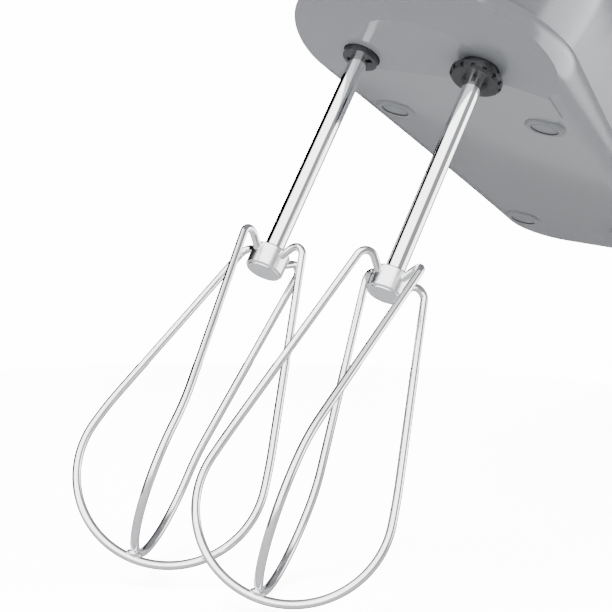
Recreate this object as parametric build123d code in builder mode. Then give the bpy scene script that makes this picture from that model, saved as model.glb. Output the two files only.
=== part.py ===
from build123d import *
import os
from math import acos, atan2, cos, hypot, pi, radians, sin, tan

# Hand mixer in millimetres. +Z is up with the beaters hanging down, -Y is the nose, X is sideways.
# The origin is the middle of the hand grip. "Deck" sizes are measured from the point midway
# between the two beater sockets: forwards and backwards along Y, and up along Z.
os.makedirs("parts", exist_ok=True)

# ---------------------------------------------------------------- driving sizes
wall = 2.5
grip_back = 75.0  # grip centre behind the beater axes

beater_spacing = 40.0
shaft_r = 2.85
shaft_depth = 28.0  # how far a beater goes into the mixer
hub_r = 5.6
hub_height = 7.0
hub_bottom = -73.0
wire_r = 1.15
loop_r = 26.0
loop_bottom = -163.6
hook_r = 11.0
loop_twist = 45.0
lean_past_side = 10.0  # the bottom arc runs this many degrees past the widest point
left_phase, right_phase = 203.8, 201.2

base_slope, base_up = 13.0, 3.0  # the underside rises to the rear
deck_up, deck_r, deck_back = 4.0, 25.0, 5.0  # level deck around the sockets
chin_slope = 9.0  # the rim round the deck rises outwards
nose_r, nose_back = 44.5, 6.0
heel_back = 170.0
tail_half = 32.0
tail_corner = 14.0
seam_up, seam_tilt = 16.5, 10.0
groove = 4.0  # how far the seam is sunk behind the widest line
body_top = 78.0
plateau_r, plateau_drop = 44.0, 0.5

grip_half = 16.0
grip_thick = 25.0
grip_round = 10.0
finger_gap = 34.0
bar_low = body_top + finger_gap
bar_high = bar_low + grip_thick
grip_up = (bar_low + bar_high) / 2  # grip centre above the sockets

foot_r, foot_height = 6.5, 1.3
foot_recess_r, foot_recess = 4.5, 0.4
front_foot, rear_foot = (26.5, 41.0), (21.0, 150.0)
screw_r, screw_head_r, tower_r = 1.8, 3.4, 4.6
running = 0.05  # radial clearance of a shaft in its bush

motor_up = 46.0
motor_shaft_r = 2.5
teeth, starts, module = 30, 2, 1.0
worm_pitch_r = 5.0
backlash = 0.45
wheel_face = 6.0
sleeve_r, sleeve_low = 5.5, 2.2  # the wheel's sleeve shows as a thin disc at the socket
slider_travel = 20.0
cord_hole_r = 3.6

deck_at = (0, -grip_back, -grip_up)


def deck(up=0.0):
    return Plane(origin=(0, -grip_back, -grip_up + up))


def across(back, up=0.0):
    """Plane looking forwards, for sections square to Y. Its x is -X and its y is up."""
    return Plane(origin=(0, back - grip_back, up - grip_up), x_dir=(-1, 0, 0), z_dir=(0, 1, 0))


side = Plane(origin=deck_at, x_dir=(0, 1, 0), z_dir=(1, 0, 0))  # x is back, y is up


def tilted(up, tilt):
    lean = radians(tilt)
    return Plane(origin=(0, -grip_back, up - grip_up), x_dir=(1, 0, 0), z_dir=(0, -sin(lean), cos(lean)))


# ---------------------------------------------------------------- housing outline
def outline(up, tilt, r, centre, tail):
    """Egg-shaped plan: a round nose, straight sides and a flat heel with round corners."""
    lean = radians(tilt)
    end = (heel_back - tail["short"]) / cos(lean)
    corner = min(tail_corner, tail["half"] - 3) - tail["short"]
    half = tail["half"]
    run, rise = half - corner, end - corner - centre
    turn = atan2(rise, run) - acos((r - corner) / hypot(run, rise))
    start = (r * cos(turn), centre + r * sin(turn))
    finish = (half - corner + corner * cos(turn), end - corner + corner * sin(turn))
    with BuildSketch(tilted(up, tilt)) as face:
        with BuildLine():
            ThreePointArc((-start[0], start[1]), (0, centre - r), start)
            flank = Line(start, finish)
            TangentArc(finish, (half - corner, end), tangent=flank % 1)
            Line((half - corner, end), (corner - half, end))
            other = Line((-start[0], start[1]), (-finish[0], finish[1]))
            TangentArc((-finish[0], finish[1]), (corner - half, end), tangent=other % 1)
        make_face()
    return face.sketch


def pan_levels(inset):
    """The lower housing: flat base, soft flare to the widest line, then in to the seam."""
    flare_up, flare_in, levelling = 9.0, 7.0, 2.5
    levels = []
    for turn in (0, 30, 60, 90):
        s, c = sin(radians(turn)), cos(radians(turn))
        up = base_up + flare_up * (1 - c) + inset * c
        drawn_in = flare_in * (1 - s) + inset * s
        levels.append(outline(up, base_slope - levelling * (1 - c), nose_r - drawn_in, nose_back,
                              {"half": tail_half - drawn_in, "short": inset}))
    levels.append(outline(seam_up, seam_tilt, nose_r - groove - inset, nose_back,
                          {"half": tail_half - groove - inset, "short": inset}))
    return levels


def dome_levels(inset):
    """The upper housing: out from the seam, up and over into a rounded top."""
    side_up, top_r, top_half = 42.0, 16.0, 13.0
    levels = [outline(seam_up, seam_tilt, nose_r - groove - inset, nose_back,
                      {"half": tail_half - groove - inset, "short": inset})]
    for turn in (0, 35, 65, 90):
        s, c = sin(radians(turn)), cos(radians(turn))
        up = side_up + (body_top - side_up) * s - inset * s
        r = top_r + (nose_r - top_r) * c - inset * c
        half = top_half + (tail_half - top_half) * c - inset * c
        levels.append(outline(up, 6.0 * (1 - s) + 0.5, r, nose_back + 2.0 * s,
                              {"half": half, "short": inset}))
    return levels


def below_deck(inset):
    """What is cut away under the nose: it leaves the level deck and the rim that rises from it."""
    reach = nose_r + 17
    rise = (reach - deck_r) * tan(radians(chin_slope))
    low, high = -60, deck_up + inset
    section = Plane(origin=(0, deck_back - grip_back, -grip_up), x_dir=(1, 0, 0), z_dir=(0, -1, 0))
    with BuildPart() as tool:
        with BuildSketch(section):
            with BuildLine():
                Polyline((0, low), (0, high), (deck_r, high), (reach, high + rise), (reach, low), close=True)
            make_face()
        revolve(axis=Axis((0, deck_back - grip_back, 0), (0, 0, 1)))
    return tool.part


base = tilted(base_up, base_slope)

with BuildPart() as pan_outside:
    loft(sections=pan_levels(0))
    # round, slightly proud plateau behind the sockets
    with BuildSketch(base.offset(-plateau_drop)):
        add(base.to_local_coords(pan_levels(0)[0]))
        with Locations((0, deck_back)):
            Circle(plateau_r, mode=Mode.INTERSECT)
    extrude(amount=plateau_drop + 0.5)
    add(below_deck(0), mode=Mode.SUBTRACT)

with BuildPart() as pan_inside:
    loft(sections=pan_levels(wall))
    add(below_deck(wall), mode=Mode.SUBTRACT)

with BuildPart() as dome_outside:
    loft(sections=dome_levels(0))

with BuildPart() as dome_inside:
    loft(sections=dome_levels(wall))


# ---------------------------------------------------------------- lower housing
sockets = [(-beater_spacing / 2, 0), (beater_spacing / 2, 0)]
feet = [(sx * x, y) for x, y in (front_foot, rear_foot) for sx in (-1, 1)]
bush_outer_r, bush_low, bush_high = 7.5, 6.5, 14.5
sleeve_gap = 0.4
pillar_back, pillar_thick, pillar_half = -23.0, 6.0, 5.5
wall_back, wall_thick, wall_half = 22.0, 4.0, 21.0
frame_foot_up = 13.5
screw_seat = 3.6  # depth of a screw head's seat under the base
seam_plane = tilted(seam_up, seam_tilt)

with BuildPart() as pan_bosses:
    with BuildSketch(deck(-10)):
        with Locations(*sockets):
            Circle(bush_outer_r + wall)
    extrude(amount=10 + bush_high)
    with BuildSketch(deck(-10)):
        with Locations((0, pillar_back)):
            Rectangle(2 * pillar_half, pillar_thick)
        with Locations((-15, wall_back + wall_thick / 2), (15, wall_back + wall_thick / 2)):
            Rectangle(10, wall_thick)
    extrude(amount=10 + frame_foot_up)
    with BuildSketch(base.offset(-5)):
        with Locations(*feet):
            Circle(tower_r)
    extrude(amount=45)
    add(pan_outside.part, mode=Mode.INTERSECT)

with BuildPart() as lower_housing:
    add(pan_outside.part)
    add(pan_inside.part, mode=Mode.SUBTRACT)
    add(pan_bosses.part)
    # sleeve holes and bush seats
    with BuildSketch(deck(-12)):
        with Locations(*sockets):
            Circle(sleeve_r + sleeve_gap)
    extrude(amount=40, mode=Mode.SUBTRACT)
    with BuildSketch(deck(bush_low)):
        with Locations(*sockets):
            Circle(bush_outer_r)
    extrude(amount=20, mode=Mode.SUBTRACT)
    # foot recesses, screw head seats and screw holes
    with BuildSketch(base.offset(-1)):
        with Locations(*feet):
            Circle(foot_r)
    extrude(amount=2, mode=Mode.SUBTRACT)
    with BuildSketch(base):
        with Locations(*feet):
            Circle(screw_head_r)
    extrude(amount=screw_seat, mode=Mode.SUBTRACT)
    with BuildSketch(base):
        with Locations(*feet):
            Circle(screw_r)
    extrude(amount=50, mode=Mode.SUBTRACT)
lower_housing.part.label = "lower_housing"
export_step(lower_housing.part, "parts/lower_housing.step")


# ---------------------------------------------------------------- handle and upper housing
# corners of the handle and of its finger opening in the side view: back, up
post_front, post_rear = [(-26, 40), (-14, bar_high)], [(heel_back, bar_high), (heel_back, 46)]
hole_front, hole_rear = [(24, 66), (18, bar_low)], [(heel_back - 37, bar_low), (heel_back - 29, 66)]


def handle(inset):
    """Closed D handle: the side view pushed out to the grip's width and rounded over."""
    with BuildPart() as loop:
        with BuildSketch(side):
            with BuildLine():
                Polyline(*post_front, *post_rear, close=True)
            make_face()
            fillet(vertices().group_by(Axis.Y)[-1], 22)
            fillet(vertices().group_by(Axis.Y)[0] + vertices().group_by(Axis.Y)[1], 12)
            if inset:
                offset(amount=-inset)
        extrude(amount=grip_half - inset, both=True)
        with BuildSketch(side) :
            with BuildLine():
                Polyline(*hole_front, *hole_rear, close=True)
            make_face()
            fillet(vertices().group_by(Axis.Y)[-1], 14)
            fillet(vertices().group_by(Axis.Y)[0], 8)
            if inset:
                offset(amount=inset)
        extrude(amount=grip_half, both=True, mode=Mode.SUBTRACT)
        fillet(faces().filter_by(Axis.X).edges(), grip_round - inset)
    return loop.part


button_back, button_long, button_wide, button_gap = 13.0, 14.0, 16.0, 0.35
rod_r, shelf_up, shelf_thick = 3.0, 105.0, 2.0
slider_start, slider_stem = 36.0, (4.4, 6.0)
panel_long, panel_half, panel_rise = 68.0, 11.0, 1.4
switch_low, switch_high = bar_low + 5.0, bar_high - 9.5
gland_up, gland_r = 100.0, 7.0
front_screw, rear_screw = 34.0, 24.0

handle_outside = handle(0)
handle_inside = handle(wall)

with BuildPart() as dome_posts:
    with BuildSketch(base.offset(2)):
        with Locations(*feet):
            Circle(tower_r)
    extrude(amount=70)
    add(dome_outside.part, mode=Mode.INTERSECT)
    with BuildSketch(base):
        with Locations(*feet[:2]):
            Circle(screw_r)
    extrude(amount=screw_seat + front_screw + 1, mode=Mode.SUBTRACT)
    with BuildSketch(base):
        with Locations(*feet[2:]):
            Circle(screw_r)
    extrude(amount=screw_seat + rear_screw + 1, mode=Mode.SUBTRACT)

with BuildPart() as spring_shelf:
    with BuildSketch(deck(shelf_up)):
        with Locations((0, 3)):
            Rectangle(2 * grip_half - wall, 40)
        with Locations((0, button_back)):
            Circle(rod_r + 0.3, mode=Mode.SUBTRACT)
    extrude(amount=shelf_thick)
    add(handle_outside, mode=Mode.INTERSECT)

with BuildPart() as upper_housing:
    add(dome_outside.part)
    add(handle_outside)
    add(dome_inside.part, mode=Mode.SUBTRACT)
    add(handle_inside, mode=Mode.SUBTRACT)
    split(bisect_by=seam_plane, keep=Keep.TOP)
    add(dome_posts.part)
    add(spring_shelf.part)
    # ribs that carry the switch block
    with BuildSketch(deck(bar_low + 1)):
        with Locations((0, 34), (0, 78)):
            Rectangle(12, 2)
    extrude(amount=switch_low - bar_low - 1)
    # cooling slots in both flanks
    with BuildSketch(side):
        with Locations(*[(84 + 6 * i, 60 + 1.0 * i) for i in range(6)]):
            SlotOverall(14, 2.2, rotation=90)
    extrude(amount=60, both=True, mode=Mode.SUBTRACT)
    # cord hole in the heel
    with BuildSketch(across(heel_back - 15, gland_up)):
        Circle(gland_r)
    extrude(amount=20, mode=Mode.SUBTRACT)
    split(bisect_by=Plane.XY, keep=Keep.BOTTOM)
upper_housing.part.label = "upper_housing"
export_step(upper_housing.part, "parts/upper_housing.step")

with BuildPart() as handle_cover:
    add(handle_outside)
    with BuildSketch(deck(bar_high - 6)):
        with Locations((0, panel_long / 2 + 1)):
            RectangleRounded(2 * panel_half, panel_long, 6)
    extrude(amount=6 + panel_rise)
    fillet(faces().sort_by(Axis.Z)[-1].edges(), 0.8)
    add(handle_inside, mode=Mode.SUBTRACT)
    with BuildSketch(deck(bar_high - 10)):
        with Locations((0, button_back)):
            RectangleRounded(button_wide + 2 * button_gap, button_long + 2 * button_gap, 4)
        with Locations((0, slider_start + slider_travel / 2)):
            Rectangle(slider_stem[0] + 0.6, slider_stem[1] + slider_travel + 0.6)
    extrude(amount=20, mode=Mode.SUBTRACT)
    split(bisect_by=Plane.XY, keep=Keep.TOP)
handle_cover.part.label = "handle_cover"
export_step(handle_cover.part, "parts/handle_cover.step")

with BuildPart() as cord_gland:
    with BuildSketch(across(heel_back - 13, gland_up)):
        Circle(gland_r)
    extrude(amount=13)
    with BuildSketch(across(heel_back - 9, gland_up)):
        Circle(gland_r + 1)
    extrude(amount=4.5)
    with BuildSketch(across(heel_back - 13, gland_up)):
        Circle(cord_hole_r)
    extrude(amount=13, mode=Mode.SUBTRACT)
cord_gland.part.label = "cord_gland"
export_step(cord_gland.part, "parts/cord_gland.step")

# ---------------------------------------------------------------- feet and screws
with BuildPart() as foot:
    with BuildSketch(base.offset(-foot_height)):
        Circle(foot_r)
    extrude(amount=foot_height + 1)
    chamfer(edges().group_by(Axis.Z)[0], 0.6)
    with BuildSketch(base.offset(-foot_height)):
        Circle(foot_recess_r)
    extrude(amount=foot_recess, mode=Mode.SUBTRACT)


def on_base(piece, places):
    """Copies of a piece drawn at the deck's middle, moved over the sloping base."""
    shifts = [base.from_local_coords(place) - base.origin for place in places]
    return [piece.moved(Location(shift)) for shift in shifts]


foot_names = ("foot_front_left", "foot_front_right", "foot_rear_left", "foot_rear_right")
for name, place in zip(foot_names, feet):
    with BuildPart() as one_foot:
        add(on_base(foot.part, [place]))
    one_foot.part.label = name
    export_step(one_foot.part, f"parts/{name}.step")


def screw(length):
    with BuildPart() as body:
        with BuildSketch(base.offset(screw_seat - 2.4)):
            Circle(screw_head_r - 0.2)
            RegularPolygon(1.2, 4, mode=Mode.SUBTRACT)
        extrude(amount=1.4)
        with BuildSketch(base.offset(screw_seat - 1.1)):
            Circle(screw_head_r - 0.2)
        extrude(amount=1.1)
        with BuildSketch(base.offset(screw_seat)):
            Circle(screw_r)
        extrude(amount=length)
    return body.part


with BuildPart() as housing_screws:
    add(on_base(screw(front_screw), feet[:2]))
    add(on_base(screw(rear_screw), feet[2:]))
housing_screws.part.label = "housing_screws"
export_step(housing_screws.part, "parts/housing_screws.step")

# ---------------------------------------------------------------- gear frame and bushes
worm_half = 2 * pi * module * starts  # half the threaded length: a whole number of leads
pillar_bush_r, wall_bush_r, wall_boss_r, wall_boss = 4.0, 5.0, 8.0, 5.0
plate_up, plate_thick = 56.0, 3.0
upper_sleeve_r = 4.5
bolt_r, bolt_out, bolt_down = 1.5, 16.3, 12.5

with BuildPart() as gear_frame:
    with BuildSketch(deck(plate_up)):
        with Locations(*sockets):
            Circle(9)
        Rectangle(beater_spacing, 18)
        with Locations((0, (wall_back + wall_thick) / 2)):
            Rectangle(2 * wall_half, wall_back + wall_thick)
        with Locations((0, (pillar_back - pillar_thick / 2) / 2)):
            Rectangle(2 * pillar_half, pillar_thick / 2 - pillar_back)
    extrude(amount=plate_thick)
    with BuildSketch(deck(frame_foot_up)):
        with Locations((0, pillar_back)):
            Rectangle(2 * pillar_half, pillar_thick)
        with Locations((0, wall_back + wall_thick / 2)):
            Rectangle(2 * wall_half, wall_thick)
    extrude(amount=plate_up - frame_foot_up)
    with BuildSketch(across(wall_back, motor_up)):
        Circle(wall_boss_r)
    extrude(amount=wall_thick + wall_boss)
    with BuildSketch(across(wall_back - 1, motor_up)):
        Circle(wall_bush_r)
        with Locations((-bolt_out, -bolt_down), (bolt_out, -bolt_down)):
            Circle(bolt_r)
    extrude(amount=wall_thick + wall_boss + 2, mode=Mode.SUBTRACT)
    with BuildSketch(across(pillar_back - 10, motor_up)):
        Circle(pillar_bush_r)
    extrude(amount=20, mode=Mode.SUBTRACT)
    with BuildSketch(deck(plate_up - 1)):
        with Locations(*sockets):
            Circle(upper_sleeve_r + running)
    extrude(amount=plate_thick + 2, mode=Mode.SUBTRACT)
gear_frame.part.label = "gear_frame"
export_step(gear_frame.part, "parts/gear_frame.step")


def bush(name, back, length, outer):
    with BuildPart() as ring:
        with BuildSketch(across(back, motor_up)):
            Circle(outer)
            Circle(motor_shaft_r + running, mode=Mode.SUBTRACT)
        extrude(amount=length)
    ring.part.label = name
    export_step(ring.part, f"parts/{name}.step")


motor_rear = 92.0
bush("worm_end_bush", pillar_back - pillar_thick / 2, pillar_thick, pillar_bush_r)
bush("front_motor_bush", wall_back, wall_thick + wall_boss, wall_bush_r)
bush("rear_motor_bush", motor_rear, 5.0, wall_bush_r)

# ---------------------------------------------------------------- worm wheels and socket bushes
tooth_depth_out, tooth_depth_in = 0.8, 1.1
pressure = radians(20)
helix_lean = atan2(starts * module, 2 * worm_pitch_r)
wheel_pitch_r = teeth * module / 2
tooth_half = pi * module / 4 - backlash / 2
wheel_low, wheel_high = motor_up - wheel_face / 2, motor_up + wheel_face / 2
shoulder_r, shoulder_low = 8.0, bush_high + 1.2
ear_r, ear_half, ear_low, ear_high = 4.0, 0.6, 4.0, 9.0


def tooth_profile(reach, root):
    """Half widths of a straight-sided tooth at its tip and its root."""
    return tooth_half - reach * tan(pressure), tooth_half + root * tan(pressure)


tip_half, root_half = tooth_profile(tooth_depth_out, tooth_depth_in + 0.3)
with BuildPart() as tooth:
    tooth_axis = Plane(origin=(0, 0, 0), x_dir=(1, 0, 0), z_dir=(0, sin(helix_lean), cos(helix_lean)))
    with BuildSketch(tooth_axis):
        with BuildLine():
            tip, root = wheel_pitch_r + tooth_depth_out, wheel_pitch_r - tooth_depth_in - 0.3
            Polyline((root, -root_half), (tip, -tip_half), (tip, tip_half), (root, root_half), close=True)
        make_face()
    extrude(amount=wheel_face, both=True)
    with BuildSketch(Plane.XY.offset(-wheel_face / 2)):
        Circle(2 * wheel_pitch_r)
    extrude(amount=wheel_face, mode=Mode.INTERSECT)

with BuildPart() as wheel:
    with BuildSketch(Plane.XY.offset(-wheel_face / 2)):
        Circle(wheel_pitch_r - tooth_depth_in)
    extrude(amount=wheel_face)
    with PolarLocations(0, teeth, start_angle=180 / teeth):
        add(tooth.part)
    for r, low, high in (
        (shoulder_r, shoulder_low, wheel_low),
        (sleeve_r, sleeve_low, shoulder_low),
        (upper_sleeve_r, wheel_high, plate_up + plate_thick + 2),
    ):
        with BuildSketch(Plane.XY.offset(low - motor_up)):
            Circle(r)
        extrude(amount=high - low)
    with BuildSketch(Plane.XY.offset(sleeve_low - motor_up)):
        Circle(shaft_r + running)
    extrude(amount=100, mode=Mode.SUBTRACT)
    # slots in the sleeve take the ears on the beater's shaft
    with BuildSketch(Plane.XY.offset(sleeve_low - motor_up)):
        Rectangle(2 * ear_r + 0.6, 2 * ear_half + 0.5)
    extrude(amount=ear_high + 1 - sleeve_low, mode=Mode.SUBTRACT)

for name, place in zip(("left", "right"), sockets):
    with BuildPart() as worm_wheel:
        with Locations(deck(motor_up).from_local_coords(place)):
            add(wheel.part)
    worm_wheel.part.label = f"{name}_worm_wheel"
    export_step(worm_wheel.part, f"parts/{name}_worm_wheel.step")
    with BuildPart() as socket_bush:
        with BuildSketch(deck(bush_low)):
            with Locations(place):
                Circle(bush_outer_r)
                Circle(sleeve_r + running, mode=Mode.SUBTRACT)
        extrude(amount=bush_high - bush_low)
    socket_bush.part.label = f"{name}_socket_bush"
    export_step(socket_bush.part, f"parts/{name}_socket_bush.step")

with BuildPart() as thrust_washers:
    with BuildSketch(deck(bush_high)):
        with Locations(*sockets):
            Circle(shoulder_r)
            Circle(sleeve_r + 0.2, mode=Mode.SUBTRACT)
    extrude(amount=1.0)
thrust_washers.part.label = "thrust_washers"
export_step(thrust_washers.part, "parts/thrust_washers.step")

# ---------------------------------------------------------------- motor
core_front, core_rear = 38.0, 66.0
armature_r, air_gap, core_half = 13.2, 0.5, 20.0
coil_in, coil_out, coil_front, coil_rear = 14.8, 18.4, 32.0, 72.0
slots_in_armature, slot_r, slot_wide = 12, 10.6, 1.6
commutator_r, commutator_front, commutator_rear = 7.0, 76.0, 86.0
fan_front, fan_rear, fan_r, blades = 100.0, 107.0, 14.0, 9
shaft_front, shaft_rear = pillar_back - pillar_thick / 2, 112.0
lead = pi * module * starts
core_r = worm_pitch_r - tooth_depth_in

with BuildPart() as worm_shaft:
    with BuildSketch(across(shaft_front, motor_up)):
        Circle(motor_shaft_r)
    extrude(amount=shaft_rear - shaft_front)
    with BuildSketch(across(-worm_half - 1.5, motor_up)):
        Circle(core_r)
    extrude(amount=2 * worm_half + 3)
    axis_point = across(-worm_half, motor_up).origin
    for turn in range(starts):
        thread_path = Helix(lead, 2 * worm_half, core_r, center=axis_point, direction=(0, 1, 0),
                            mode=Mode.PRIVATE).rotate(Axis(axis_point, (0, 1, 0)), 90 + 360 * turn / starts)
        radial = (thread_path @ 0) - axis_point
        with BuildSketch(Plane(origin=thread_path @ 0, x_dir=radial, z_dir=thread_path % 0)):
            with BuildLine():
                Polyline((-0.3, -root_half), (tooth_depth_in + tooth_depth_out, -tip_half),
                         (tooth_depth_in + tooth_depth_out, tip_half), (-0.3, root_half), close=True)
            make_face()
        sweep(path=thread_path, is_frenet=True)
worm_shaft.part.label = "worm_shaft"
export_step(worm_shaft.part, "parts/worm_shaft.step")


def ring_sector(inner, outer, middle, spread, front, rear):
    """Part of a ring round the motor axis, from front to rear."""
    with BuildPart() as sector:
        with BuildSketch(across(front, motor_up)):
            with BuildLine():
                low, high = middle - spread, middle + spread
                CenterArc((0, 0), outer, low, high - low)
                CenterArc((0, 0), inner, low, high - low)
                for turn in (low, high):
                    c, s = cos(radians(turn)), sin(radians(turn))
                    Line((inner * c, inner * s), (outer * c, outer * s))
            make_face()
        extrude(amount=rear - front)
    return sector.part


with BuildPart() as field_coils:
    for middle in (90, 270):
        add(ring_sector(coil_in, coil_out, middle, 52, coil_front, coil_rear))
        add(ring_sector(coil_in - 1, coil_out + 1, middle, 34, core_front, core_rear), mode=Mode.SUBTRACT)
field_coils.part.label = "field_coils"
export_step(field_coils.part, "parts/field_coils.step")

with BuildPart() as stator_core:
    with BuildSketch(across(core_front, motor_up)):
        RectangleRounded(2 * core_half, 2 * core_half, 5)
        Circle(armature_r + air_gap, mode=Mode.SUBTRACT)
        with Locations((-bolt_out, -bolt_down), (bolt_out, -bolt_down)):
            Circle(bolt_r, mode=Mode.SUBTRACT)
    extrude(amount=core_rear - core_front)
    add(field_coils.part, mode=Mode.SUBTRACT)
stator_core.part.label = "stator_core"
export_step(stator_core.part, "parts/stator_core.step")

with BuildPart() as armature_core:
    with BuildSketch(across(core_front, motor_up)):
        Circle(armature_r)
        Circle(motor_shaft_r, mode=Mode.SUBTRACT)
        with PolarLocations((armature_r + slot_r) / 2 + 1, slots_in_armature):
            Rectangle(armature_r - slot_r + 2, slot_wide, mode=Mode.SUBTRACT)
    extrude(amount=core_rear - core_front)
armature_core.part.label = "armature_core"
export_step(armature_core.part, "parts/armature_core.step")

with BuildPart() as armature_windings:
    for front, rear in ((core_front - 5, core_front), (core_rear, core_rear + 6)):
        with BuildSketch(across(front, motor_up)):
            Circle(slot_r + 0.9)
            Circle(motor_shaft_r, mode=Mode.SUBTRACT)
        extrude(amount=rear - front)
    fillet(edges().filter_by(GeomType.CIRCLE).filter_by(lambda e: e.radius > slot_r).group_by(Axis.Y)[0], 2)
    fillet(edges().filter_by(GeomType.CIRCLE).filter_by(lambda e: e.radius > slot_r).group_by(Axis.Y)[-1], 2)
armature_windings.part.label = "armature_windings"
export_step(armature_windings.part, "parts/armature_windings.step")

with BuildPart() as commutator:
    with BuildSketch(across(commutator_front, motor_up)):
        Circle(commutator_r)
        Circle(motor_shaft_r, mode=Mode.SUBTRACT)
        with PolarLocations(commutator_r, 2 * slots_in_armature):
            Rectangle(1.6, 0.4, mode=Mode.SUBTRACT)
    extrude(amount=commutator_rear - commutator_front)
commutator.part.label = "commutator"
export_step(commutator.part, "parts/commutator.step")

with BuildPart() as cooling_fan:
    with BuildSketch(across(fan_front, motor_up)):
        Circle(6)
        Circle(motor_shaft_r, mode=Mode.SUBTRACT)
    extrude(amount=fan_rear - fan_front)
    with BuildSketch(across(fan_front, motor_up)):
        Circle(fan_r)
        Circle(motor_shaft_r, mode=Mode.SUBTRACT)
    extrude(amount=1.2)
    with BuildSketch(across(fan_front, motor_up)):
        with PolarLocations((fan_r + 5) / 2, blades):
            Rectangle(fan_r - 5, 1.2, rotation=25)
    extrude(amount=fan_rear - fan_front)
cooling_fan.part.label = "cooling_fan"
export_step(cooling_fan.part, "parts/cooling_fan.step")

holder_half, brush_half, holder_out, holder_reach = 4.0, 2.9, 8.5, 19.0
brush_middle = (commutator_front + commutator_rear) / 2
with BuildPart() as rear_bracket:
    with BuildSketch(across(motor_rear, motor_up)):
        RectangleRounded(2 * core_half, 30, 4)
        with Locations((-bolt_out, -bolt_down), (bolt_out, -bolt_down)):
            Circle(4)
            Circle(bolt_r, mode=Mode.SUBTRACT)
        Circle(wall_bush_r, mode=Mode.SUBTRACT)
    extrude(amount=3)
    with BuildSketch(across(brush_middle - holder_half, motor_up)):
        with Locations((-14, holder_half + 1.5), (14, holder_half + 1.5)):
            Rectangle(9, 3)
    extrude(amount=motor_rear - brush_middle + holder_half)
rear_bracket.part.label = "rear_bracket"
export_step(rear_bracket.part, "parts/rear_bracket.step")

for name, sx in (("left", -1), ("right", 1)):
    brush_start = deck().from_local_coords((sx * holder_out, brush_middle, motor_up))
    brush_plane = Plane(origin=brush_start, x_dir=(0, 1, 0), z_dir=(sx, 0, 0))
    with BuildPart() as holder:
        with BuildSketch(brush_plane):
            Rectangle(2 * holder_half, 2 * holder_half)
            Rectangle(2 * brush_half + 0.2, 2 * brush_half + 0.2, mode=Mode.SUBTRACT)
        extrude(amount=holder_reach - holder_out)
    holder.part.label = f"{name}_brush_holder"
    export_step(holder.part, f"parts/{name}_brush_holder.step")
    with BuildPart() as brush:
        with BuildSketch(brush_plane.offset(-1.2)):
            Rectangle(2 * brush_half, 2 * brush_half)
        extrude(amount=9)
    brush.part.label = f"{name}_carbon_brush"
    export_step(brush.part, f"parts/{name}_carbon_brush.step")

with BuildPart() as motor_bolts:
    for sx in (-1, 1):
        shank, head = (bolt_r, wall_back, motor_rear + 3), (2 * bolt_r, motor_rear + 3, motor_rear + 5)
        for r, front, rear in (shank, head):
            middle = deck().from_local_coords((sx * bolt_out, front, motor_up - bolt_down))
            with BuildSketch(Plane(origin=middle, z_dir=(0, 1, 0))):
                Circle(r)
            extrude(amount=rear - front)
motor_bolts.part.label = "motor_bolts"
export_step(motor_bolts.part, "parts/motor_bolts.step")

# ---------------------------------------------------------------- ejector, speed slider and switch
yoke_up, yoke_thick, pin_r = 70.0, 3.0, 2.4
button_low, button_rise = bar_high - 11.0, 6.0
spring_r, spring_wire = 4.6, 0.45

with BuildPart() as ejector_yoke:
    with BuildSketch(deck(yoke_up)):
        Rectangle(beater_spacing + 2 * pin_r + 0.4, 2 * pin_r + 0.4)
        with Locations((0, button_back / 2)):
            Rectangle(9, button_back + 7)
    extrude(amount=yoke_thick)
    with BuildSketch(deck(shaft_depth + 0.5)):
        with Locations(*sockets):
            Circle(pin_r)
    extrude(amount=yoke_up - shaft_depth - 0.5)
    with BuildSketch(deck(yoke_up + yoke_thick)):
        with Locations((0, button_back)):
            Circle(rod_r)
    extrude(amount=button_low - yoke_up - yoke_thick)
ejector_yoke.part.label = "ejector_yoke"
export_step(ejector_yoke.part, "parts/ejector_yoke.step")

with BuildPart() as ejector_button:
    with BuildSketch(deck(button_low)):
        with Locations((0, button_back)):
            RectangleRounded(button_wide, button_long, 3.6)
    extrude(amount=bar_high + button_rise - button_low)
    fillet(faces().sort_by(Axis.Z)[-1].edges(), 1.5)
ejector_button.part.label = "ejector_button"
export_step(ejector_button.part, "parts/ejector_button.step")

spring_foot = deck(shelf_up + shelf_thick + spring_wire).from_local_coords((0, button_back))
with BuildPart() as ejector_spring:
    spring_long = button_low - shelf_up - shelf_thick - 2 * spring_wire - 0.2
    coil = Helix(3.0, spring_long, spring_r, center=spring_foot, mode=Mode.PRIVATE)
    with BuildSketch(Plane(origin=coil @ 0, z_dir=coil % 0)):
        Circle(spring_wire)
    sweep(path=coil, is_frenet=True)
ejector_spring.part.label = "ejector_spring"
export_step(ejector_spring.part, "parts/ejector_spring.step")

with BuildPart() as speed_slider:
    with BuildSketch(deck(bar_high + panel_rise + 0.3)):
        with Locations((0, slider_start)):
            RectangleRounded(14, 12, 3)
    extrude(amount=4)
    fillet(faces().sort_by(Axis.Z)[-1].edges(), 1.2)
    with BuildSketch(deck(switch_high + 0.5)):
        with Locations((0, slider_start)):
            Rectangle(*slider_stem)
    extrude(amount=bar_high + panel_rise + 0.3 - switch_high - 0.5)
speed_slider.part.label = "speed_slider"
export_step(speed_slider.part, "parts/speed_slider.step")

with BuildPart() as switch_block:
    with BuildSketch(deck(switch_low)):
        with Locations((0, 56)):
            RectangleRounded(15, 52, 1.5)
    extrude(amount=switch_high - switch_low)
    with BuildSketch(deck(switch_high - 1.5)):
        with Locations((-3.5, 50), (3.5, 50)):
            Rectangle(2, 34)
    extrude(amount=3, mode=Mode.SUBTRACT)
switch_block.part.label = "switch_block"
export_step(switch_block.part, "parts/switch_block.step")

# ---------------------------------------------------------------- beaters
hub_top = hub_bottom + hub_height
arc_end = radians(90 + lean_past_side)
shoulder_reach, hook_reach = 6.0, 5.2
collar_r, collar_thick, collar_top, notches = 8.0, 2.2, 1.3, 14


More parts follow.
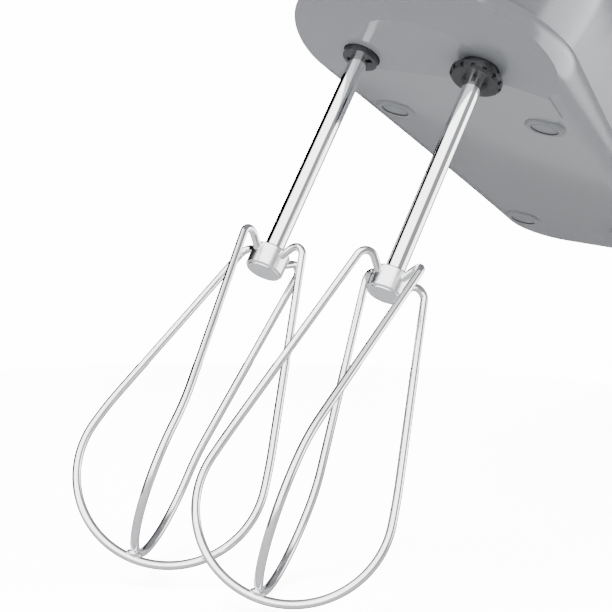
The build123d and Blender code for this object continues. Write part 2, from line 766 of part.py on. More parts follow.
def arm(turn, hook_turn, rise):
    """One side of a wire loop, from its lowest arc up to the hub: points about the beater's axis."""
    def at(r, up, angle):
        return Vector(r * cos(angle), r * sin(angle), up)

    centre_up = loop_bottom + loop_r + rise
    shoulder = at(loop_r * sin(arc_end), centre_up - loop_r * cos(arc_end), turn)
    along = at(cos(arc_end), sin(arc_end), turn)
    knee = shoulder + along * shoulder_reach
    hook = at(hook_r + 1.2, hub_top + 3.5, hook_turn)
    socket = at(hub_r - 2.0, hub_top - 3.2, hook_turn)
    leg = (hook - knee).normalized()
    inward = (socket - hook).normalized()
    return [shoulder, knee, knee + leg * shoulder_reach, hook - leg * hook_reach, hook,
            hook + inward * hook_reach, socket]


def wire_loop(place, phase, twist, rise):
    turn, hook_turn = radians(phase), radians(phase - twist)
    right, left = arm(turn, hook_turn, rise), arm(turn + pi, hook_turn + pi, rise)
    with BuildPart() as loop:
        with BuildLine() as path:
            for shoulder, knee, leg_low, leg_high, hook, turned, socket in (right, left):
                TangentArc(shoulder, leg_low, tangent=knee - shoulder)
                Line(leg_low, leg_high)
                TangentArc(leg_high, turned, tangent=hook - leg_high)
                Line(turned, socket)
            ThreePointArc(left[0], (0, 0, loop_bottom + rise), right[0])
        wire = Wire(path.edges()).moved(Location(deck().from_local_coords(place)))
        with BuildSketch(Plane(origin=wire @ 0, z_dir=wire % 0)):
            Circle(wire_r)
        sweep(path=wire)
    return loop.part


beaters = (("left", sockets[0], left_phase, loop_twist), ("right", sockets[1], right_phase, -loop_twist))
for name, place, phase, twist in beaters:
    outer = wire_loop(place, phase, twist, 0)
    inner = wire_loop(place, phase + 90, twist, 2 * wire_r + 0.05)
    for layer, loop in (("outer", outer), ("inner", inner)):
        loop.label = f"{name}_{layer}_loop"
        export_step(loop, f"parts/{name}_{layer}_loop.step")

    with BuildPart() as beater_hub:
        with BuildSketch(deck(hub_bottom)):
            with Locations(place):
                Circle(hub_r)
        extrude(amount=hub_height)
        chamfer(edges().filter_by(GeomType.CIRCLE), 0.5)
        with BuildSketch(deck(hub_bottom + 2)):
            with Locations(place):
                Circle(shaft_r)
        extrude(amount=hub_height, mode=Mode.SUBTRACT)
        add(outer, mode=Mode.SUBTRACT)
        add(inner, mode=Mode.SUBTRACT)
    beater_hub.part.label = f"{name}_beater_hub"
    export_step(beater_hub.part, f"parts/{name}_beater_hub.step")

    with BuildPart() as beater_shaft:
        with BuildSketch(deck(hub_bottom + 2)):
            with Locations(place):
                Circle(shaft_r)
        extrude(amount=shaft_depth - hub_bottom - 2)
        chamfer(edges().group_by(Axis.Z)[-1], 0.8)
        with BuildSketch(deck(ear_low)):
            with Locations(place):
                Rectangle(2 * ear_r, 2 * ear_half)
        extrude(amount=ear_high - ear_low)
        add(outer, mode=Mode.SUBTRACT)
        add(inner, mode=Mode.SUBTRACT)
    beater_shaft.part.label = f"{name}_beater_shaft"
    export_step(beater_shaft.part, f"parts/{name}_beater_shaft.step")

prong_height, prong_out, prong_wide = 2.0, 0.9, 1.1
with BuildPart() as right_collar:
    with BuildSketch(deck(collar_top - collar_thick)):
        with Locations(sockets[1]):
            Circle(collar_r)
    extrude(amount=collar_thick)
    chamfer(edges().group_by(Axis.Z)[0], 0.8)
    with BuildSketch(deck(collar_top - collar_thick)):
        with Locations(sockets[1]):
            with PolarLocations(collar_r, notches):
                Rectangle(1.6, 1.2)
    extrude(amount=1.4, mode=Mode.SUBTRACT)
    with BuildSketch(deck(collar_top - collar_thick - prong_height)):
        with Locations(sockets[1]):
            with PolarLocations(shaft_r, 4, start_angle=20):
                Rectangle(2 * prong_out, prong_wide)
    extrude(amount=prong_height + 0.5)
    with BuildSketch(deck(collar_top - collar_thick - prong_height - 1)):
        with Locations(sockets[1]):
            Circle(shaft_r)
    extrude(amount=collar_thick + prong_height + 2, mode=Mode.SUBTRACT)
right_collar.part.label = "right_collar"
export_step(right_collar.part, "parts/right_collar.step")
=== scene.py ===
from math import cos, pi, radians, sin

import bpy
from bpy.props import FloatProperty, FloatVectorProperty, PointerProperty
from mathutils import Matrix, Vector


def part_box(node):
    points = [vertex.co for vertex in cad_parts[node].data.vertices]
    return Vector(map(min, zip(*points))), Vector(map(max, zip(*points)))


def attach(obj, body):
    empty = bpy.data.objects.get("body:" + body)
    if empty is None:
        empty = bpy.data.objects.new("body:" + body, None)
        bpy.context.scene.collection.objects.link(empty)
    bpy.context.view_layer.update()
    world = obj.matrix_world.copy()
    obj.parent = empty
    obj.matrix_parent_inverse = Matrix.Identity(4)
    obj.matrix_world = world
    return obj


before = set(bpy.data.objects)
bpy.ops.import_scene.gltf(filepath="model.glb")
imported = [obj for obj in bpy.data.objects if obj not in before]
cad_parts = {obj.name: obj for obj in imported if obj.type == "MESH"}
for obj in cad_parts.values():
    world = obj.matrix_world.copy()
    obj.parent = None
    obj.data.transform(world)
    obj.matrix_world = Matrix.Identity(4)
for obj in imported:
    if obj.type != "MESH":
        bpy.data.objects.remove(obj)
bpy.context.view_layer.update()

bl_info = {
    "name": "Hand Mixer",
    "version": (1, 0, 0),
    "blender": (4, 5, 0),
    "location": "3D View > Sidebar > Mixer",
    "description": "Finishes and detail pieces for a hand mixer built round its packed frame",
    "category": "Object",
}

MM = 0.001


def middle(node):
    low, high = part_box(node)
    return (low + high) / 2


# Places that the pieces share, read from the frame.
LEFT_AXIS = middle("left_beater_hub")
RIGHT_AXIS = middle("right_beater_hub")
TIPS_UP = min(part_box("left_outer_loop")[0].z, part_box("right_outer_loop")[0].z)
SHAFT_R = (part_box("left_beater_shaft")[1].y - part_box("left_beater_shaft")[0].y) / 2
SIDES = ("left", "right")
FEET = ("foot_front_left", "foot_front_right", "foot_rear_left", "foot_rear_right")

# Sizes of the object that its boxes don't give.
BASE_SLOPE = radians(13.0)
WIRE_R = 1.15 * MM
SLIDE = 20.0 * MM
SOCKET_OVER_HUB = 73 * MM

# Sizes of the detail pieces.
WELD_ROUGH = 0.00004
COLLAR_WIRE = 0.5 * MM
RIB_STEP, RIB_WIDE, RIB_HIGH, RIB_ROUND = 1.9 * MM, 0.8 * MM, 0.9 * MM, 0.32 * MM
FOOT_RING_R, FOOT_RING_WIRE = 4.45 * MM, 0.16 * MM
MARKS = 5
SHEET = 0.7 * MM


# ---------------------------------------------------------------- shader expressions
class Signal:
    """A shader socket. Python arithmetic on it adds the Math nodes."""

    def __init__(self, finish, socket):
        self.finish = finish
        self.socket = socket

    def math(self, operation, *values):
        inputs = {place: value for place, value in enumerate(values)}
        return self.finish.node("ShaderNodeMath", {"operation": operation}, inputs)

    def __add__(self, other):
        return self.math("ADD", self, other)

    def __radd__(self, other):
        return self.math("ADD", other, self)

    def __mul__(self, other):
        return self.math("MULTIPLY", self, other)

    def __truediv__(self, other):
        return self.math("DIVIDE", self, other)

    def __pow__(self, other):
        return self.math("POWER", self, other)

    def __gt__(self, other):
        return self.math("GREATER_THAN", self, other)


class Finish:
    """A material made by node() and by expressions on its Signals."""

    def __init__(self, name, owner=None):
        if owner is None:
            owner = bpy.data.materials.new(name)
        self.owner = owner
        owner.use_nodes = True
        self.tree = owner.node_tree
        self.tree.nodes.clear()

    def feed(self, socket, value):
        if isinstance(value, Signal):
            self.tree.links.new(value.socket, socket)
        else:
            socket.default_value = value

    def node(self, kind, settings=None, inputs=None, output=0):
        """Adds one node: its settings first, then the values or links of its sockets."""
        made = self.tree.nodes.new(kind)
        for key, value in (settings or {}).items():
            if key == "stops":
                ramp = made.color_ramp.elements
                while len(ramp) < len(value):
                    ramp.new(1.0)
                for stop, (place, colour) in zip(ramp, value):
                    stop.position = place
                    stop.color = colour
            else:
                setattr(made, key, value)
        for socket, value in (inputs or {}).items():
            self.feed(made.inputs[socket], value)
        return Signal(self, made.outputs[output]) if made.outputs else None

    def place(self, centre=(0, 0, 0), turn=(0, 0, 0), scale=(1, 1, 1)):
        """Object coordinates, measured from centre and then stretched."""
        spot = self.node("ShaderNodeTexCoord", output="Object")
        moved = self.node("ShaderNodeVectorMath", {"operation": "SUBTRACT"}, {0: spot, 1: centre})
        return self.node("ShaderNodeMapping", inputs={"Vector": moved, "Rotation": turn, "Scale": scale})

    def noise(self, scale, detail=2.0, roughness=0.5, spot=None):
        spot = spot or self.place()
        return self.node("ShaderNodeTexNoise", {"noise_dimensions": "3D"},
                         {"Vector": spot, "Scale": scale, "Detail": detail, "Roughness": roughness}, "Fac")

    def tint(self, factor, low, high):
        """A colour between two others."""
        return self.node("ShaderNodeMix", {"data_type": "RGBA"}, {0: factor, 6: low, 7: high}, 2)

    def bump(self, height, distance, strength=1.0, under=None):
        inputs = {"Height": height, "Distance": distance, "Strength": strength}
        if under is not None:
            inputs["Normal"] = under
        return self.node("ShaderNodeBump", inputs=inputs)

    def surface(self, **sockets):
        """Finishes the material with one Principled shader."""
        names = {"colour": "Base Color", "metallic": "Metallic", "roughness": "Roughness", "normal": "Normal",
                 "coat": "Coat Weight", "coat_roughness": "Coat Roughness", "ior": "IOR",
                 "subsurface": "Subsurface Weight", "subsurface_scale": "Subsurface Scale"}
        inputs = {names[key]: value for key, value in sockets.items()}
        shader = self.node("ShaderNodeBsdfPrincipled", inputs=inputs)
        self.node("ShaderNodeOutputMaterial", inputs={"Surface": shader})
        return self.owner


def rgb(colour, gain=1.0):
    return (colour[0] * gain, colour[1] * gain, colour[2] * gain, 1.0)


# ---------------------------------------------------------------- finishes
def moulded_plastic(name, colour, roughness=0.16, grain=0.00002, coat=0.35):
    """Glossy moulded plastic: faint flow clouds, orange peel, fingerprints that dull it and fine dust."""
    f = Finish(name)
    clouds = f.noise(14.0, 3.0, 0.6)
    speck = f.noise(2600.0, 1.0) > 0.71
    smudge = f.noise(38.0, 4.0, 0.65)
    peel = f.noise(620.0, 2.0, 0.5)
    swirl = f.noise(90.0, 2.0)
    base = f.tint(clouds, rgb(colour, 0.965), rgb(colour, 1.03))
    dusted = f.tint(speck * 0.35, base, rgb(colour, 0.82))
    normal = f.bump(peel + swirl * 2.0, grain)
    return f.surface(colour=dusted, roughness=roughness * 0.7 + smudge * (roughness * 0.65), coat=coat,
                     coat_roughness=0.06, normal=normal, ior=1.5)


def satin_plastic(name, colour, roughness=0.42, scale=1500.0, depth=0.00004):
    """Spark-eroded plastic with a fine even grain."""
    f = Finish(name)
    pits = f.noise(scale, 2.0, 0.55)
    wear = f.noise(60.0, 3.0, 0.6)
    base = f.tint(wear, rgb(colour, 0.86), rgb(colour, 1.12))
    return f.surface(colour=base, roughness=roughness - 0.08 + wear * 0.16, normal=f.bump(pits, depth))


def soft_rubber(name, colour):
    """Slightly milky elastomer."""
    f = Finish(name)
    grain = f.noise(1900.0, 2.0)
    dust = f.noise(240.0, 4.0, 0.7)
    base = f.tint(dust, rgb(colour, 0.9), rgb(colour, 1.06))
    return f.surface(colour=base, roughness=0.38 + dust * 0.18, normal=f.bump(grain, 0.00003),
                     subsurface=0.15, subsurface_scale=0.004, ior=1.45)


def polished_rod(name, colour, axis, streak=0.5):
    """Polished round bar: hairlines round and along it, and faint water spots."""
    f = Finish(name)
    spot = f.place(axis)
    along = f.noise(1.0, 3.0, 0.6, f.place(axis, scale=(2600.0, 2600.0, 60.0)))
    rings = f.noise(1.0, 2.0, 0.5, f.place(axis, scale=(60.0, 60.0, 5200.0)))
    spots = f.noise(210.0, 2.0, 0.6, spot) > 0.69
    haze = f.noise(30.0, 3.0, 0.6, spot)
    base = f.tint(haze, rgb(colour, 0.97), rgb(colour, 1.02))
    rough = 0.035 + haze * 0.04 + along * (0.03 * streak) + spots * 0.05
    return f.surface(colour=base, metallic=1.0, roughness=rough,
                     normal=f.bump(along + rings, 0.0000012))


def turned_face(name, colour, axis):
    """Satin lathe-turned metal: fine rings about the axis."""
    f = Finish(name)
    spot = f.place(axis)
    split = f.node("ShaderNodeSeparateXYZ", inputs={0: spot})
    x, y = split, Signal(f, split.socket.node.outputs[1])
    radius = (x * x + y * y) ** 0.5
    pitch = radius * 26000.0
    rings = pitch.math("SINE", pitch)
    fine = f.noise(900.0, 2.0, 0.6, spot)
    base = f.tint(fine, rgb(colour, 0.9), rgb(colour, 1.04))
    return f.surface(colour=base, metallic=1.0, roughness=0.24 + fine * 0.1,
                     normal=f.bump(rings * 0.4 + fine, 0.000006))


def cast_metal(name, colour, roughness=0.5):
    f = Finish(name)
    sand = f.noise(900.0, 4.0, 0.7)
    stain = f.noise(45.0, 3.0, 0.6)
    return f.surface(colour=f.tint(stain, rgb(colour, 0.75), rgb(colour, 1.1)), metallic=0.9,
                     roughness=roughness + sand * 0.15, normal=f.bump(sand, 0.00008))


def laminated_steel(name, colour):
    """Stacked sheet steel: dark and light sheets across the motor's axis."""
    f = Finish(name)
    split = f.node("ShaderNodeSeparateXYZ", inputs={0: f.place()}, output=1)
    stack = split * (2 * pi / SHEET)
    sheets = stack.math("SINE", stack)
    rust = f.noise(260.0, 3.0, 0.6)
    base = f.tint(rust, rgb(colour, 0.8), rgb(colour, 1.25))
    return f.surface(colour=base, metallic=0.85, roughness=0.45 + rust * 0.15,
                     normal=f.bump(sheets, 0.00004))


def wound_copper(name, colour):
    """Enamelled wire laid in windings, with painted shade in the grooves between them and a painted highlight
    along each one.
    """
    f = Finish(name)
    turn_relief_and_painted_shade = f.node("ShaderNodeTexWave", {"wave_type": "BANDS", "bands_direction": "DIAGONAL"},
                   {"Vector": f.place(), "Scale": 900.0, "Distortion": 1.5}, "Fac")
    # painted shade and painted highlight: the copper is darker in each groove between windings and brighter
    # along each crown, in step with the bump
    return f.surface(colour=f.tint(turn_relief_and_painted_shade, rgb(colour, 0.55), rgb(colour, 1.15)), metallic=0.8,
                     roughness=0.28, coat=0.5, normal=f.bump(turn_relief_and_painted_shade, 0.00015))


def studio_world():
    """White to the eye, and for light and gloss a white room with dark standing flags."""
    w = Finish("studio", bpy.data.worlds.new("studio"))
    ray = w.node("ShaderNodeLightPath")
    seen = Signal(w, ray.socket.node.outputs["Is Camera Ray"])
    glossy = Signal(w, ray.socket.node.outputs["Is Glossy Ray"])
    way = w.node("ShaderNodeTexCoord", output="Generated")
    x = w.node("ShaderNodeSeparateXYZ", inputs={0: way})
    y, z = (Signal(w, x.socket.node.outputs[place]) for place in (1, 2))
    turn = x.math("ARCTAN2", x, y) / (2 * pi) + 0.5
    white, grey, black = (1.0, 0.085, 0.0008)
    flags = [(0.0, white), (0.11, white), (0.15, black), (0.4, black), (0.43, 0.05), (0.55, 0.06),
             (0.59, white), (0.71, white), (0.73, grey), (0.86, grey), (0.88, white), (1.0, white)]
    walls = w.node("ShaderNodeValToRGB", {"stops": [(place, (v, v, v * 1.01, 1.0)) for place, v in flags]},
                   {0: turn})
    floor = w.node("ShaderNodeMapRange", {"interpolation_type": "SMOOTHSTEP"},
                   {"Value": z, "From Min": -0.75, "From Max": -0.35})
    ceiling = w.node("ShaderNodeMapRange", {"interpolation_type": "SMOOTHSTEP"},
                     {"Value": z, "From Min": 0.55, "From Max": 0.85})
    room = w.tint(floor, (0.13, 0.131, 0.135, 1.0), walls)
    room = w.tint(ceiling, room, (0.05, 0.05, 0.053, 1.0))
    colour = w.tint(glossy, (0.6, 0.61, 0.63, 1.0), room)
    colour = w.tint(seen, colour, (1.0, 1.0, 1.0, 1.0))
    strength = 0.95 + glossy * 4.6 + seen * 14.0
    sky = w.node("ShaderNodeBackground", inputs={"Color": colour, "Strength": strength})
    w.node("ShaderNodeOutputWorld", inputs={"Surface": sky})
    return w.owner


# ---------------------------------------------------------------- mesh helpers
def clear_selection():
    if bpy.context.object is not None and bpy.context.object.mode != "OBJECT":
        bpy.ops.object.mode_set(mode="OBJECT")
    bpy.ops.object.select_all(action="DESELECT")


def begin(name):
    """The new primitive, named and ready for edit mode."""
    piece = bpy.context.object
    piece.name = piece.data.name = name
    return piece


def edit_all():
    """Edit mode with everything selected."""
    bpy.ops.object.mode_set(mode="EDIT")
    bpy.ops.mesh.select_all(action="SELECT")


def edit_faces(piece, wanted):
    """Edit mode with only the wanted faces selected."""
    bpy.ops.object.mode_set(mode="EDIT")
    bpy.ops.mesh.select_all(action="DESELECT")
    bpy.ops.object.mode_set(mode="OBJECT")
    for face in piece.data.polygons:
        face.select = wanted(face)
    bpy.ops.object.mode_set(mode="EDIT")


def settle(piece, material, body, smooth=40.0):
    """Puts a finished piece's place into its mesh and makes it ride."""
    clear_selection()
    piece.select_set(True)
    bpy.context.view_layer.objects.active = piece
    for modifier in list(piece.modifiers):
        bpy.ops.object.modifier_apply(modifier=modifier.name)
    bpy.ops.object.transform_apply(location=True, rotation=True, scale=True)
    bpy.ops.object.mode_set(mode="EDIT")
    bpy.ops.mesh.select_all(action="SELECT")
    bpy.ops.mesh.remove_doubles(threshold=0.000001)
    bpy.ops.mesh.normals_make_consistent(inside=False)
    bpy.ops.object.mode_set(mode="OBJECT")
    bpy.ops.object.shade_smooth_by_angle(angle=radians(smooth))
    piece.data.materials.clear()
    piece.data.materials.append(material)
    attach(piece, body)
    return piece


def paint(material, *nodes):
    """Gives CAD nodes their material."""
    for node in nodes:
        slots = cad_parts[node].material_slots
        for one in slots:
            one.material = material


# ---------------------------------------------------------------- settings
def colour_setting(name, description, default):
    return FloatVectorProperty(name=name, description=description, subtype="COLOR", size=3, min=0.0, max=1.0,
                               default=default)


class MixerFinishSettings(bpy.types.PropertyGroup):
    housing: colour_setting("Housing", "Colour of the moulded housing", (0.36, 0.37, 0.39))
    feet: colour_setting("Feet", "Colour of the rubber feet", (0.34, 0.35, 0.365))
    controls: colour_setting("Controls", "Colour of the button and the slider", (0.2, 0.21, 0.225))
    dark: colour_setting("Dark plastic", "Colour of the collar and the inner mouldings", (0.03, 0.031, 0.034))
    steel: colour_setting("Steel", "Colour of the polished steel", (0.86, 0.865, 0.875))
    copper: colour_setting("Copper", "Colour of the windings", (0.7, 0.26, 0.12))


class MixerStageSettings(bpy.types.PropertyGroup):
    lens: FloatProperty(name="Lens", description="Focal length of the camera", default=96.46, unit="CAMERA")
    floor_size: FloatProperty(name="Floor radius", description="Radius of the pale floor", default=0.3,
                              subtype="DISTANCE", unit="LENGTH")
    light: FloatProperty(name="Key light", description="Power of the soft box", default=2.2, unit="POWER")


# ---------------------------------------------------------------- operators
class MIXER_OT_housing(bpy.types.Operator):
    """Gives the housing, the handle and the feet their moulded finishes"""

    bl_idname = "mixer.housing"
    bl_label = "Housing and feet"

    def execute(self, context):
        looks = context.scene.mixer_finishes
        shell = moulded_plastic("housing_grey", looks.housing)
        paint(shell, "lower_housing", "upper_housing", "handle_cover")
        paint(soft_rubber("foot_grey", looks.feet), *FEET)
        paint(satin_plastic("dark_plastic", looks.dark), "cord_gland", "switch_block", "cooling_fan",
              "ejector_yoke", "left_brush_holder", "right_brush_holder")
        return {"FINISHED"}


class MIXER_OT_beaters(bpy.types.Operator):
    """Polishes the beaters"""

    bl_idname = "mixer.beaters"
    bl_label = "Beaters"

    def execute(self, context):
        looks = context.scene.mixer_finishes
        for side, axis in zip(SIDES, (LEFT_AXIS, RIGHT_AXIS)):
            rod = polished_rod(f"chrome_{side}", looks.steel, axis)
            paint(rod, f"{side}_beater_shaft")
            paint(turned_face(f"turned_{side}", looks.steel, axis), f"{side}_beater_hub")
            wire = polished_rod(f"chrome_wire_{side}", looks.steel, axis, 1.0)
            paint(wire, f"{side}_outer_loop", f"{side}_inner_loop")
        paint(satin_plastic("collar_dark", looks.dark), "right_collar")
        return {"FINISHED"}


class MIXER_OT_controls(bpy.types.Operator):
    """Finishes the ejector button and the speed slider"""

    bl_idname = "mixer.controls"
    bl_label = "Controls"

    def execute(self, context):
        looks = context.scene.mixer_finishes
        paint(satin_plastic("button_grey", looks.controls), "ejector_button", "speed_slider")
        return {"FINISHED"}


class MIXER_OT_drive(bpy.types.Operator):
    """Finishes the motor and the worm drive"""

    bl_idname = "mixer.drive"
    bl_label = "Motor and drive"

    def execute(self, context):
        looks = context.scene.mixer_finishes
        paint(satin_plastic("gear_nylon", (0.045, 0.045, 0.05), 0.34), "left_worm_wheel", "right_worm_wheel")
        paint(cast_metal("cast_frame", (0.5, 0.5, 0.51)), "gear_frame", "rear_bracket")
        paint(cast_metal("bronze", (0.55, 0.36, 0.16), 0.35), "left_socket_bush", "right_socket_bush",
              "worm_end_bush", "front_motor_bush", "rear_motor_bush")
        paint(laminated_steel("core_steel", (0.2, 0.2, 0.21)), "stator_core", "armature_core")
        paint(wound_copper("copper", looks.copper), "field_coils", "armature_windings", "commutator")
        paint(polished_rod("ground_steel", looks.steel, middle("worm_shaft")), "worm_shaft")
        paint(cast_metal("zinc_steel", (0.6, 0.6, 0.6), 0.25), "housing_screws", "motor_bolts",
              "thrust_washers", "ejector_spring")
        paint(satin_plastic("carbon", (0.02, 0.02, 0.02), 0.6), "left_carbon_brush", "right_carbon_brush")
        return {"FINISHED"}


class MIXER_OT_weld_beads(bpy.types.Operator):
    """Adds the weld that joins the crossed wires at the tip of each beater"""

    bl_idname = "mixer.weld_beads"
    bl_label = "Weld beads"

    def execute(self, context):
        looks = context.scene.mixer_finishes
        for side, axis in zip(SIDES, (LEFT_AXIS, RIGHT_AXIS)):
            steel = turned_face(f"weld_{side}", looks.steel, axis)
            crossing = (axis.x, axis.y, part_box(f"{side}_outer_loop")[0].z + 2 * WIRE_R)
            clear_selection()
            bpy.ops.mesh.primitive_uv_sphere_add(segments=32, ring_count=16, radius=WIRE_R * 1.5,
                                                 location=crossing)
            bead = begin(f"{side}_weld_bead")
            edit_all()
            bpy.ops.transform.resize(value=(1.25, 1.25, 0.62), center_override=crossing)
            bpy.ops.mesh.subdivide(number_cuts=1, smoothness=0.4)
            bpy.ops.transform.vertex_random(offset=WELD_ROUGH, uniform=0.2, normal=1.0, seed=7)
            bpy.ops.object.mode_set(mode="OBJECT")
            settle(bead, steel, f"{side}_beater")
        return {"FINISHED"}


class MIXER_OT_hub_rings(bpy.types.Operator):
    """Adds the rolled collar on top of each beater hub and the stamped disc under it"""

    bl_idname = "mixer.hub_rings"
    bl_label = "Hub rings"

    def execute(self, context):
        looks = context.scene.mixer_finishes
        for side, axis in zip(SIDES, (LEFT_AXIS, RIGHT_AXIS)):
            low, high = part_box(f"{side}_beater_hub")
            hub_r = (high.x - low.x) / 2
            steel = turned_face(f"ring_{side}", looks.steel, axis)

            clear_selection()
            bpy.ops.mesh.primitive_torus_add(major_segments=72, minor_segments=16,
                                             major_radius=SHAFT_R + 0.35 * MM, minor_radius=COLLAR_WIRE,
                                             location=(axis.x, axis.y, high.z + 0.1 * MM))
            collar = begin(f"{side}_hub_collar")
            edit_all()
            bpy.ops.transform.resize(value=(1.0, 1.0, 0.7), center_override=(axis.x, axis.y, high.z))
            bpy.ops.object.mode_set(mode="OBJECT")
            settle(collar, steel, f"{side}_beater", 60.0)

            clear_selection()
            bpy.ops.mesh.primitive_cylinder_add(vertices=72, radius=hub_r - 0.55 * MM, depth=0.5 * MM,
                                                end_fill_type="NGON",
                                                location=(axis.x, axis.y, low.z - 0.05 * MM))
            disc = begin(f"{side}_hub_plug")
            edit_faces(disc, lambda face: face.normal.z < -0.9)
            for inset, step in ((0.28, 0.18), (0.3, -0.12)):
                bpy.ops.mesh.inset(thickness=hub_r * inset)
                bpy.ops.transform.translate(value=(0, 0, step * MM))
            bpy.ops.object.mode_set(mode="OBJECT")
            bevel = disc.modifiers.new("round", "BEVEL")
            bevel.width = 0.12 * MM
            bevel.segments = 2
            settle(disc, steel, f"{side}_beater")
        return {"FINISHED"}


class MIXER_OT_grip_ribs(bpy.types.Operator):
    """Adds the finger ribs on the slider and on the ejector button"""

    bl_idname = "mixer.grip_ribs"
    bl_label = "Grip ribs"

    def execute(self, context):
        looks = context.scene.mixer_finishes
        soft = soft_rubber("grip_dark", looks.dark)
        for node, body, ribs in (("speed_slider", "slider", 5), ("ejector_button", "ejector", 3)):
            low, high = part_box(node)
            centre = (low + high) / 2
            across = (high.x - low.x) * 0.62
            for place in range(ribs):
                y = centre.y + (place - (ribs - 1) / 2) * RIB_STEP
                clear_selection()
                bpy.ops.mesh.primitive_cube_add(size=1, location=(centre.x, y, high.z + 0.1 * MM),
                                                scale=(across, RIB_WIDE, RIB_HIGH))
                rib = begin(f"{node}_rib_{place + 1}")
                edit_all()
                bpy.ops.mesh.bevel(offset=RIB_ROUND, segments=4, affect="EDGES")
                bpy.ops.object.mode_set(mode="OBJECT")
                settle(rib, soft, body)
        return {"FINISHED"}


class MIXER_OT_speed_marks(bpy.types.Operator):
    """Adds the raised dots beside the slider, which grow with the speed"""

    bl_idname = "mixer.speed_marks"
    bl_label = "Speed marks"

    def execute(self, context):
        ink = satin_plastic("mark_white", (0.75, 0.76, 0.78), 0.5)
        low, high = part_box("speed_slider")
        cover_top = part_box("handle_cover")[1].z
        start = (low.y + high.y) / 2
        for place in range(MARKS):
            spot = (high.x + 1.9 * MM, start + place * SLIDE / (MARKS - 1), cover_top + 0.05 * MM)
            clear_selection()
            bpy.ops.mesh.primitive_cylinder_add(vertices=32, radius=(0.35 + 0.11 * place) * MM,
                                                depth=0.3 * MM, location=spot)
            dot = begin(f"speed_mark_{place + 1}")
            edit_faces(dot, lambda face: face.normal.z > 0.9)
            bpy.ops.mesh.bevel(offset=0.08 * MM, segments=2, affect="EDGES")
            bpy.ops.object.mode_set(mode="OBJECT")
            settle(dot, ink, "housing")
        return {"FINISHED"}


class MIXER_OT_foot_rings(bpy.types.Operator):
    """Adds the thin dark ring in the underside of each foot"""

    bl_idname = "mixer.foot_rings"
    bl_label = "Foot rings"

    def execute(self, context):
        dark = satin_plastic("foot_ring_dark", (0.07, 0.072, 0.076), 0.5)
        inward = Vector((0.0, -sin(BASE_SLOPE), cos(BASE_SLOPE)))
        for node in FEET:
            places = [v.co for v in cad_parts[node].data.vertices]
            under = min(place.dot(inward) for place in places)
            rim = [place for place in places if place.dot(inward) < under + 0.05 * MM]
            centre = sum(rim, Vector()) / len(rim)
            clear_selection()
            bpy.ops.mesh.primitive_torus_add(major_segments=72, minor_segments=12, major_radius=FOOT_RING_R,
                                             minor_radius=FOOT_RING_WIRE,
                                             location=centre + inward * 0.12 * MM,
                                             rotation=(BASE_SLOPE, 0, 0))
            ring = begin(f"{node}_ring")
            edit_all()
            bpy.ops.mesh.subdivide(number_cuts=1)
            bpy.ops.object.mode_set(mode="OBJECT")
            settle(ring, dark, "housing", 60.0)
        return {"FINISHED"}


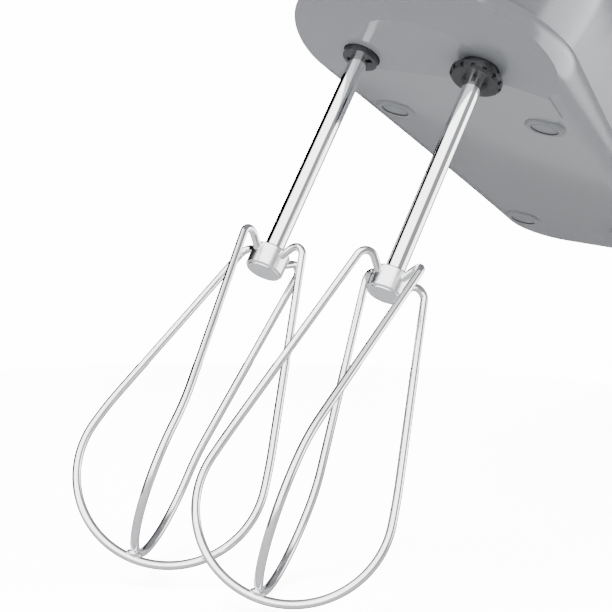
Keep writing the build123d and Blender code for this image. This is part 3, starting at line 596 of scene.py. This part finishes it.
class MIXER_OT_stage(bpy.types.Operator):
    """Adds the pale floor, the soft light and the camera"""

    bl_idname = "mixer.stage"
    bl_label = "Stage"

    def execute(self, context):
        stage = context.scene.mixer_stage
        scene = context.scene
        sockets = Vector((0.0, LEFT_AXIS.y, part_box("left_beater_hub")[0].z + SOCKET_OVER_HUB))

        # camera: in front, to the right and below, rolled so that the beaters lean
        view = Matrix.Rotation(radians(32.46), 4, "Z") @ Matrix.Rotation(radians(90 + 20.09), 4, "X")
        view = view @ Matrix.Rotation(radians(23.85), 4, "Z")
        camera = bpy.data.objects.new("camera", bpy.data.cameras.new("camera"))
        camera.data.lens = stage.lens
        camera.data.sensor_width = 36.0
        camera.data.clip_start = 0.01
        camera.matrix_world = Matrix.Translation(sockets + Vector((0.2299, -0.36436, -0.23893))) @ view
        scene.collection.objects.link(camera)
        scene.camera = camera

        # floor: tilted with the view, just under the wires
        clear_selection()
        tilt = Vector((-0.082, -0.612, 0.786)).normalized()
        wires = [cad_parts[f"{side}_{layer}_loop"] for side in SIDES for layer in ("outer", "inner")]
        under = min(v.co.dot(tilt) for wire in wires for v in wire.data.vertices)
        tips = Vector((0.0, LEFT_AXIS.y, TIPS_UP))
        centre = tips + tilt * (under - 0.5 * MM - tips.dot(tilt))
        bpy.ops.mesh.primitive_circle_add(vertices=96, radius=stage.floor_size, fill_type="TRIFAN",
                                          location=centre, rotation=tilt.to_track_quat("Z", "Y").to_euler())
        floor = begin("floor")
        floor.is_shadow_catcher = True
        f = Finish("pale_floor")
        mottled = f.tint(f.noise(8.0, 2.0), rgb((0.9, 0.9, 0.9)), rgb((0.93, 0.93, 0.93)))
        floor.data.materials.append(f.surface(colour=mottled, roughness=0.6))

        # two soft boxes and a low fill, none of them seen in the reflections
        for name, place, size, share in (
            ("key", (-0.45, -0.55, 0.25), 0.5, 1.0),
            ("rim", (0.6, -0.1, 0.35), 0.35, 0.7),
            ("fill", (0.1, -0.5, -0.6), 0.6, 0.25),
        ):
            lamp = bpy.data.lights.new(name, "AREA")
            lamp.energy = stage.light * share
            lamp.size = size
            box = bpy.data.objects.new(name, lamp)
            box.visible_glossy = False
            aim = Vector(place) + sockets
            turn = (sockets - aim).to_track_quat("-Z", "Y").to_matrix().to_4x4()
            box.matrix_world = Matrix.Translation(aim) @ turn
            scene.collection.objects.link(box)
        scene.world = studio_world()
        return {"FINISHED"}


OPERATORS = (MIXER_OT_housing, MIXER_OT_beaters, MIXER_OT_controls, MIXER_OT_drive,
             MIXER_OT_weld_beads, MIXER_OT_hub_rings, MIXER_OT_grip_ribs, MIXER_OT_speed_marks,
             MIXER_OT_foot_rings, MIXER_OT_stage)


class MIXER_PT_panel(bpy.types.Panel):
    """Lists the mixer's settings and pieces"""

    bl_label = "Mixer"
    bl_idname = "MIXER_PT_panel"
    bl_space_type = "VIEW_3D"
    bl_region_type = "UI"
    bl_category = "Mixer"

    def draw(self, context):
        for settings in (context.scene.mixer_finishes, context.scene.mixer_stage):
            for name in settings.__annotations__:
                self.layout.prop(settings, name)
        for operator in OPERATORS:
            self.layout.operator(operator.bl_idname)


CLASSES = (MixerFinishSettings, MixerStageSettings, *OPERATORS, MIXER_PT_panel)


def register():
    for one in CLASSES:
        bpy.utils.register_class(one)
    bpy.types.Scene.mixer_finishes = PointerProperty(type=MixerFinishSettings)
    bpy.types.Scene.mixer_stage = PointerProperty(type=MixerStageSettings)


def unregister():
    del bpy.types.Scene.mixer_stage
    del bpy.types.Scene.mixer_finishes
    for one in reversed(CLASSES):
        bpy.utils.unregister_class(one)


def main():
    register()
    bpy.ops.mixer.housing()
    bpy.ops.mixer.beaters()
    bpy.ops.mixer.controls()
    bpy.ops.mixer.drive()
    bpy.ops.mixer.weld_beads()
    bpy.ops.mixer.hub_rings()
    bpy.ops.mixer.grip_ribs()
    bpy.ops.mixer.speed_marks()
    bpy.ops.mixer.foot_rings()
    bpy.ops.mixer.stage()


if __name__ == "__main__":
    main()
